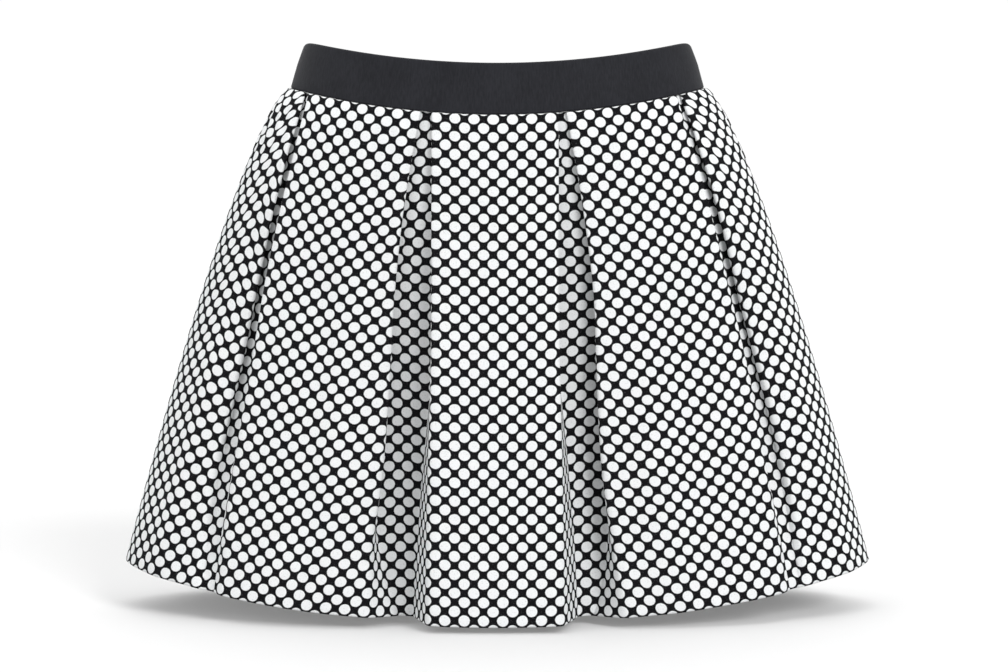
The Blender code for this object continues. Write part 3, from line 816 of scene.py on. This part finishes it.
def finish_mesh(name, data, material, sharp_angle=50):
    """A smooth object of a closed mesh, with its faces turned outwards."""
    mesh = bmesh.new()
    mesh.from_mesh(data)
    bmesh.ops.recalc_face_normals(mesh, faces=mesh.faces)
    mesh.to_mesh(data)
    mesh.free()
    data.materials.append(material)
    data.shade_smooth()
    data.set_sharp_from_angle(angle=math.radians(sharp_angle))
    print(name, count_triangles(data), "triangles")
    return add_object(name, data)


def skin(name, rings, material, sharp_angle=50, zipped=True):
    """A closed skin through a row of closed rings of points; its ends are zipped or one face."""
    stations, around = rings.shape[:2]
    number = np.arange(stations * around).reshape(stations, around)
    ahead = np.roll(number, -1, axis=1)
    sides = np.stack([number[:-1], ahead[:-1], ahead[1:], number[1:]], axis=-1)
    faces = sides.reshape(-1, 4).tolist()
    for ring in (number[0, ::-1].tolist(), number[-1].tolist()):
        if not zipped:
            faces.append(ring)
            continue
        for i in range((around - 1) // 2):
            corners = (ring[i], ring[i + 1], ring[-2 - i], ring[-1 - i])
            faces.append(list(dict.fromkeys(corners)))
    data = bpy.data.meshes.new(name)
    data.from_pydata(rings.reshape(-1, 3).tolist(), [], faces)
    return finish_mesh(name, data, material, sharp_angle)


def cloth_panel(name, outer, inner, address):
    """A panel's skin, down its outer face, round the hem and up its inner face."""
    hem = (outer[-1:] + inner[-1:]) / 2 - (0.0, 0.0, CLOTH_WALL * HEM_BULGE)
    rings = np.concatenate([outer, hem, inner[::-1]]).swapaxes(0, 1)
    panel = skin(name, rings, dotted_face, sharp_angle=180)
    mesh = panel.data
    mesh.materials.append(dotted_reverse)
    slots = np.zeros(len(mesh.polygons), dtype=np.int32)
    stations, around = rings.shape[:2]
    sides = slots[:(stations - 1) * around].reshape(-1, around)
    sides[:, len(outer) + 1:2 * len(outer)] = 1
    mesh.polygons.foreach_set("material_index", slots)
    places = np.concatenate([address, address[-1:], address[::-1]]).swapaxes(0, 1).reshape(-1, 2)
    corners = np.zeros(len(mesh.loops), dtype=np.int32)
    mesh.loops.foreach_get("vertex_index", corners)
    uv_map = mesh.uv_layers.new(name=CLOTH_MAP)
    uv_map.data.foreach_set("uv", places[corners].astype(np.float32).ravel())
    return panel


# %% [markdown]
# ## Front and back panels
# A cutter makes the front in one piece and the back in two, because the zip needs a seam at the
# centre back. The front is the left and right quarters joined at the centre line; the backs are
# one quarter each, turned to face +Y.

# %% Front and back panels


def mirrored(rows):
    """The same quarters on the other side of the centre line, running the other way."""
    return [(curve, controls[::-1] * (-1, 1)) for curve, controls in rows]


def build_panel(name, rows, spans, creases, behind, start_share):
    """A panel; its cloth's address starts at start_share of its length from the centre line."""
    outer, inner, along = panel_rings(rows, spans, creases, behind)
    address = cloth_address(outer, along, start_share * along[0, -1])
    panel_grids[name] = (outer, inner)
    return cloth_panel(name, outer, inner, address)


panel_grids = {}
front_rows = [
    (curve, np.vstack([left, right[1:]]))
    for (curve, left), (_, right) in zip(mirrored(left_rows), right_rows)
]
front_cloth = build_panel(
    "front_cloth", front_rows, QUARTER_SPANS[::-1] + QUARTER_SPANS, FRONT_CREASES, False, -0.5,
)
back_right_cloth = build_panel(
    "back_right_cloth", back_rows, QUARTER_SPANS, BACK_CREASES, True, 0.0,
)
back_left_cloth = build_panel(
    "back_left_cloth", mirrored(back_rows), QUARTER_SPANS[::-1], BACK_CREASES, True, -1.0,
)

# %% [markdown]
# ## Waistband
# The band is one strip of cloth folded along its top edge round a stiffener, so its section is a
# thin upright loop with a round top. It is cut into a front and two backs that meet at the side
# seams and at the zip. Its section is carried round the waist on the band's own base curves,
# which lean inwards towards the top.

# %% Waistband
BAND_STEPS = 56
BAND_FACE_STEPS = 9
BAND_ROUND_STEPS = 8
BAND_ROLL = 0.0006
BAND_ROLL_REACH = 0.0012
BAND_WAVE = 0.00035


def band_section():
    """(share of the height, offset from the middle) round the band's section, outside first."""
    half = BAND_WALL / 2
    height = BAND_TOP_SIDE_Z - SEAM_SIDE_Z
    low, high = half / height, 1.0 - half / height
    section = []
    for way, start, end in ((1, low, high), (-1, high, low)):
        section += [(f, way * half) for f in np.linspace(start, end, BAND_FACE_STEPS)]
        for angle in np.linspace(0.0, math.pi, BAND_ROUND_STEPS + 1)[1:-1]:
            rise = way * math.sin(angle) * half / height
            section.append((end + rise, way * math.cos(angle) * half))
    return section


def build_band(name, from_side, to_side, behind):
    """A stretch of waistband; -1 and 1 are the side seams and 0 is the centre back."""
    steps = BAND_STEPS * abs(to_side - from_side)
    lines = []
    for share, offset in band_section():
        curve = band_curve(share)
        ends = (from_side * curve.quarter + SEAM_GAP / 2, to_side * curve.quarter - SEAM_GAP / 2)
        s = np.linspace(*ends, steps + 1)
        away = np.minimum(s - ends[0], ends[1] - s)
        roll = BAND_ROLL * np.exp(-(away / BAND_ROLL_REACH) ** 2)
        wave = BAND_WAVE * np.sin(s * 41.0 + 1.3) * np.sin(s * 97.0) * (1 - abs(2 * share - 1))
        inwards = -offset + wave * np.sign(offset + 1e-9) + roll * np.sign(offset)
        lines.append(curve.lift(curve.place(s, inwards), behind))
    return skin(name, np.array(lines).swapaxes(0, 1), band_cloth, zipped=False)


band_front = build_band("band_front", -1, 1, False)
band_back_left = build_band("band_back_left", -1, 0, True)
band_back_right = build_band("band_back_right", 0, 1, True)

# %% [markdown]
# ## Zip tape
# A concealed zip closes the centre back seam. Its tape lies flat behind the seam, from the
# waistband down over the hips. It is a narrow woven strip, so two grids of points, one for each
# face, are enough, with its long edges drawn in so that they look soft.

# %% Zip tape
TAPE_WIDTH = 0.0240
TAPE_WALL = 0.0010
TAPE_BELOW_TOP = 0.10
TAPE_FOOT_LEVEL = 0.38
TAPE_COLUMNS = 12
TAPE_LEVELS = 24
SELVEDGE = 0.49
SELVEDGE_THICKNESS = 0.4


def tape_places():
    """(curve, depth) of the tape's middle for each of its rows, from top to foot."""
    behind_band = BAND_WALL / 2 + SEAM_GAP + TAPE_WALL / 2
    behind_cloth = SOLID_WALL / 2 + SEAM_GAP + TAPE_WALL / 2
    places = [(band_curve(share), behind_band) for share in (1.0 - TAPE_BELOW_TOP, 0.6, 0.3, 0.0)]
    for level in np.linspace(0.04, TAPE_FOOT_LEVEL, TAPE_LEVELS):
        lift = read_table(PLEATS, PLEAT_COLUMNS, level)["centre_lift"]
        places.append((skirt_curve(level), behind_cloth - lift))
    return places


def tape_face(side):
    """Rows of points on the tape's outer (-1) or inner (1) face."""
    aside = np.linspace(-TAPE_WIDTH / 2, TAPE_WIDTH / 2, TAPE_COLUMNS + 1)
    at_edge = np.abs(aside) > SELVEDGE * TAPE_WIDTH
    half_wall = TAPE_WALL / 2 * np.where(at_edge, SELVEDGE_THICKNESS, 1.0)
    return np.array([
        curve.lift(curve.place(aside, depth + side * half_wall), True)
        for curve, depth in tape_places()
    ])


tape_outer, tape_inner = tape_face(-1), tape_face(1)
tape_rings = np.concatenate([tape_outer, tape_inner[:, ::-1]], axis=1)
fine_tape = skin("fine_tape", tape_rings, tape_cloth)

# %% [markdown]
# ## Slider and pull
# The slider and its pull are cast metal. Their solids already have the right shape, so each is
# copied, its loose triangles are merged into whole faces, and every sharp edge is bevelled, as
# casting and lacquer would leave it. The pull is the one piece that moves: it swings up on the
# slider's bridge.

# %% Slider and pull
CAST_EDGE = 0.00022
CAST_SEGMENTS = 3


def softened_copy(name, node, material):
    """A merged, bevelled copy of a solid, in the same place."""
    mesh = bmesh.new()
    mesh.from_mesh(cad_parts[node].data)
    bmesh.ops.remove_doubles(mesh, verts=mesh.verts, dist=1e-6)
    bmesh.ops.dissolve_limit(mesh, angle_limit=math.radians(2), verts=mesh.verts, edges=mesh.edges)
    sharp = [e for e in mesh.edges if e.is_manifold and e.calc_face_angle() > math.radians(40)]
    bmesh.ops.bevel(
        mesh, geom=sharp, offset=CAST_EDGE, segments=CAST_SEGMENTS, profile=0.5, affect="EDGES",
        clamp_overlap=True,
    )
    data = bpy.data.meshes.new(name)
    mesh.to_mesh(data)
    mesh.free()
    return finish_mesh(name, data, material)


fine_slider = softened_copy("fine_slider", "zip_slider", black_lacquer)
fine_pull = softened_copy("fine_pull", "zip_pull", black_lacquer)

# %% [markdown]
# ## Stitches and zip teeth with Geometry Nodes
# Hundreds of stitches and teeth would be slow to place by hand, and they all do the same thing:
# follow a line at an even step and lie flat on the cloth. One geometry tree does it for any
# line: it turns edges into a curve, cuts it into equal steps, and sets a small rounded piece on
# each, turned along the curve and facing away from the cloth. Its inputs are the sizes. At its
# end the pieces are made real and given their finish, and the result is kept as a plain mesh.

# %% Geometry tree for rows of small pieces
NUMBERS = ("Step", "Length", "Width", "Height", "Unevenness")
ROW_INPUTS = (
    ("Line", "NodeSocketGeometry"), *((name, "NodeSocketFloat") for name in NUMBERS),
    ("Seed", "NodeSocketInt"), ("Finish", "NodeSocketMaterial"),
)
FACING = "facing"


def make_row_tree():
    tree = bpy.data.node_groups.new("pieces_along_a_line", "GeometryNodeTree")
    for name, kind in ROW_INPUTS:
        tree.interface.new_socket(name, in_out="INPUT", socket_type=kind)
    tree.interface.new_socket("Pieces", in_out="OUTPUT", socket_type="NodeSocketGeometry")
    given = add_node(tree, "NodeGroupInput").outputs
    line = add_node(tree, "GeometryNodeMeshToCurve", {"Mesh": given["Line"]}).outputs[0]
    steps = add_node(tree, "GeometryNodeResampleCurve",
                     {"Curve": line, "Length": given["Step"]}, mode="LENGTH")
    tangent = add_node(tree, "GeometryNodeInputTangent").outputs[0]
    facing = add_node(tree, "GeometryNodeInputNamedAttribute", {"Name": FACING},
                      data_type="FLOAT_VECTOR").outputs[0]
    along = add_node(tree, "FunctionNodeAlignRotationToVector", {"Vector": tangent}, axis="X")
    turned = add_node(tree, "FunctionNodeAlignRotationToVector",
                      {"Rotation": along.outputs[0], "Vector": facing}, axis="Z", pivot_axis="X")
    uneven = add_node(tree, "FunctionNodeRandomValue", {2: -1.0, 3: 1.0, "Seed": given["Seed"]},
                      data_type="FLOAT").outputs[1]
    grow = math_node(tree, "MULTIPLY_ADD", uneven, given["Unevenness"], 1.0)
    longer = math_node(tree, "MULTIPLY", given["Length"], grow)
    size = add_node(tree, "ShaderNodeCombineXYZ",
                    {0: longer, 1: given["Width"], 2: given["Height"]}).outputs[0]
    bead = add_node(tree, "GeometryNodeMeshUVSphere", {"Segments": 8, "Rings": 6, "Radius": 0.5})
    placed = add_node(tree, "GeometryNodeInstanceOnPoints", {
        "Points": steps.outputs[0], "Instance": bead.outputs[0],
        "Rotation": turned.outputs[0], "Scale": size,
    })
    real = add_node(tree, "GeometryNodeRealizeInstances", {0: placed.outputs[0]}).outputs[0]
    smooth = add_node(tree, "GeometryNodeSetShadeSmooth", {0: real}).outputs[0]
    inputs = {0: smooth, "Material": given["Finish"]}
    painted = add_node(tree, "GeometryNodeSetMaterial", inputs).outputs[0]
    add_node(tree, "NodeGroupOutput", {0: painted})
    return tree


row_tree = make_row_tree()
print("tree", row_tree.name, "has", len(row_tree.nodes), "nodes")

# %% Rows of pieces as plain meshes


def row_of_pieces(name, lines, **values):
    """Pieces along lines, each (points, facing), with the tree's inputs given by name."""
    data = bpy.data.meshes.new(name)
    edges, start = [], 0
    for points, _ in lines:
        edges += [(start + i, start + i + 1) for i in range(len(points) - 1)]
        start += len(points)
    data.from_pydata(np.vstack([points for points, _ in lines]).tolist(), edges, [])
    facing = data.attributes.new(FACING, "FLOAT_VECTOR", "POINT")
    facing.data.foreach_set("vector", np.vstack([away for _, away in lines]).ravel())
    thing = add_object(name, data)
    row = thing.modifiers.new("row", "NODES")
    row.node_group = row_tree
    for socket in row_tree.interface.items_tree:
        if socket.in_out == "INPUT" and socket.name in values:
            row[socket.identifier] = values[socket.name]
    graph = bpy.context.evaluated_depsgraph_get()
    thing.data = bpy.data.meshes.new_from_object(thing.evaluated_get(graph))
    thing.modifiers.clear()
    print(name, count_triangles(thing.data), "triangles")
    return thing


# %% Hem, waistband and zip rows
STITCH_LIFT = 0.0001
STITCH = {"Width": 0.0005, "Height": 0.0004}
BAND_STITCH_SHARE = 0.07
HEM_ROW = len(LEVELS) - len(LOW_LEVELS) - 1

hem_lines = []
for outer, inner in panel_grids.values():
    away = unit_rows(inner[HEM_ROW] - outer[HEM_ROW])
    hem_lines.append((inner[HEM_ROW] + away * STITCH_LIFT, away))
hem_stitches = row_of_pieces(
    "hem_stitches", hem_lines, Step=0.0085, Length=0.0030, Unevenness=0.25, Seed=4,
    Finish=dark_thread, **STITCH,
)


def band_line(behind, steps=160):
    """A line round the waistband's inner face, and the way that it faces."""
    curve = band_curve(BAND_STITCH_SHARE)
    s = np.linspace(-curve.quarter, curve.quarter, steps + 1)
    middle = curve.lift(curve.place(s, 0.0), behind)
    face = curve.lift(curve.place(s, BAND_WALL / 2 + STITCH_LIFT), behind)
    return face, unit_rows(face - middle)


band_stitches = row_of_pieces(
    "band_stitches", [band_line(False), band_line(True)], Step=0.0034, Length=0.0025,
    Unevenness=0.12, Seed=7, Finish=dark_thread, **STITCH,
)


def tape_line(column, first_row=0):
    """A line down the tape's inner face, and the way that it faces."""
    face = tape_inner[first_row:, column]
    away = unit_rows(face - tape_outer[first_row:, column])
    return face + away * STITCH_LIFT, away


tape_stitches = row_of_pieces(
    "tape_stitches", [tape_line(1), tape_line(TAPE_COLUMNS - 1)], Step=0.0030, Length=0.0022,
    Unevenness=0.12, Seed=9, Finish=pale_thread, **STITCH,
)
zip_teeth = row_of_pieces(
    "zip_teeth", [tape_line(TAPE_COLUMNS // 2, 1)], Step=0.0013, Length=0.0010, Width=0.0052,
    Height=0.0018, Unevenness=0.0, Seed=1, Finish=black_lacquer,
)

# %% [markdown]
# ## Rides and replacements
# Every piece moves with its body, and each solid that a fine piece stands for is hidden.


def hand_over(piece, node=None, body="garment"):
    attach(piece, body)
    if node:
        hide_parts(node)


hand_over(front_cloth, "skirt_front")
hand_over(back_left_cloth, "skirt_back_left")
hand_over(back_right_cloth, "skirt_back_right")
hand_over(band_front, "waistband_front")
hand_over(band_back_left, "waistband_back_left")
hand_over(band_back_right, "waistband_back_right")
hand_over(fine_tape, "zip_tape")
hand_over(fine_slider, "zip_slider")
hand_over(fine_pull, "zip_pull", body="pull")
hand_over(zip_teeth)
hand_over(hem_stitches)
hand_over(band_stitches)
hand_over(tape_stitches)

# %% [markdown]
# ## Floor and light
# The studio's trick for a cut-out look is white on white: a pale floor, a glowing wall far round
# it and a bright even sky, with wide soft lights. The floor lies just under the hem, so the only
# shadow is the soft dark rim right below it. It throws no light back up into the folds.

# %% Floor and backdrop
FLOOR_DROP = 0.0050
FLOOR_SHADE = 0.67
FLOOR_GLOW = 0.12
WALL_GLOW = 1.02
ROOM_RADIUS = 14.0
ROOM_HEIGHT = 6.0
ROOM_SIDES = 96
ROOM_INSET = 0.99
ROOM_SINK = 0.05
floor_z = cad_box[0].z - FLOOR_DROP


def room_ring(radius, z):
    turns = np.linspace(0.0, 2 * math.pi, ROOM_SIDES, endpoint=False)
    return [(radius * math.cos(turn), radius * math.sin(turn), z) for turn in turns]


def stage_object(name, points, faces, shade, glow):
    """A matt piece of the room that gives off some light of its own."""
    paint = new_material(
        name, Roughness=1.0, Specular_IOR_Level=0.0, Base_Color=(shade, shade, shade, 1.0),
        Emission_Color=(1.0, 1.0, 1.0, 1.0), Emission_Strength=glow,
    )[0]
    data = bpy.data.meshes.new(name)
    data.from_pydata(points, [], faces)
    data.materials.append(paint)
    thing = add_object(name, data)
    return thing


floor_ring = room_ring(ROOM_RADIUS, floor_z)
floor = stage_object("floor", floor_ring, [range(ROOM_SIDES)], FLOOR_SHADE, FLOOR_GLOW)
floor.visible_diffuse = False

low_ring = room_ring(ROOM_RADIUS * ROOM_INSET, floor_z - ROOM_SINK)
high_ring = room_ring(ROOM_RADIUS * ROOM_INSET, floor_z + ROOM_HEIGHT)
wall_faces = []
for i in range(ROOM_SIDES):
    j = (i + 1) % ROOM_SIDES
    wall_faces.append((j, i, ROOM_SIDES + i, ROOM_SIDES + j))
backdrop = stage_object("backdrop", low_ring + high_ring, wall_faces, 0.0, WALL_GLOW)
backdrop.visible_shadow = False
print("floor at", round(floor_z, 4))

# %% Light
SKY_STRENGTH = 0.34
LIGHT_DISTANCE = 3.0

world = bpy.data.worlds.new("soft_sky")
world.use_nodes = True
sky = world.node_tree.nodes["Background"].inputs
sky["Color"].default_value = (1.0, 1.0, 1.0, 1.0)
sky["Strength"].default_value = SKY_STRENGTH
bpy.context.scene.world = world


def add_sun(name, azimuth, elevation, strength, spread):
    """A wide soft light; azimuth 0 shines on the front and 180 on the back, in degrees."""
    light = bpy.data.lights.new(name, "SUN")
    light.energy = strength
    light.angle = math.radians(spread)
    turn, rise = math.radians(azimuth), math.radians(elevation)
    level = math.cos(rise)
    towards = Vector((math.sin(turn) * level, -math.cos(turn) * level, math.sin(rise)))
    sun = add_object(name, light)
    sun.location = towards * LIGHT_DISTANCE
    sun.rotation_euler = towards.to_track_quat("Z", "Y").to_euler()


add_sun("front_light", 34.0, 32.0, 1.80, 26.0)
add_sun("fill_light", -52.0, 24.0, 0.80, 40.0)
add_sun("top_light", 180.0, 66.0, 2.2, 90.0)
bpy.context.scene.view_settings.view_transform = "Standard"
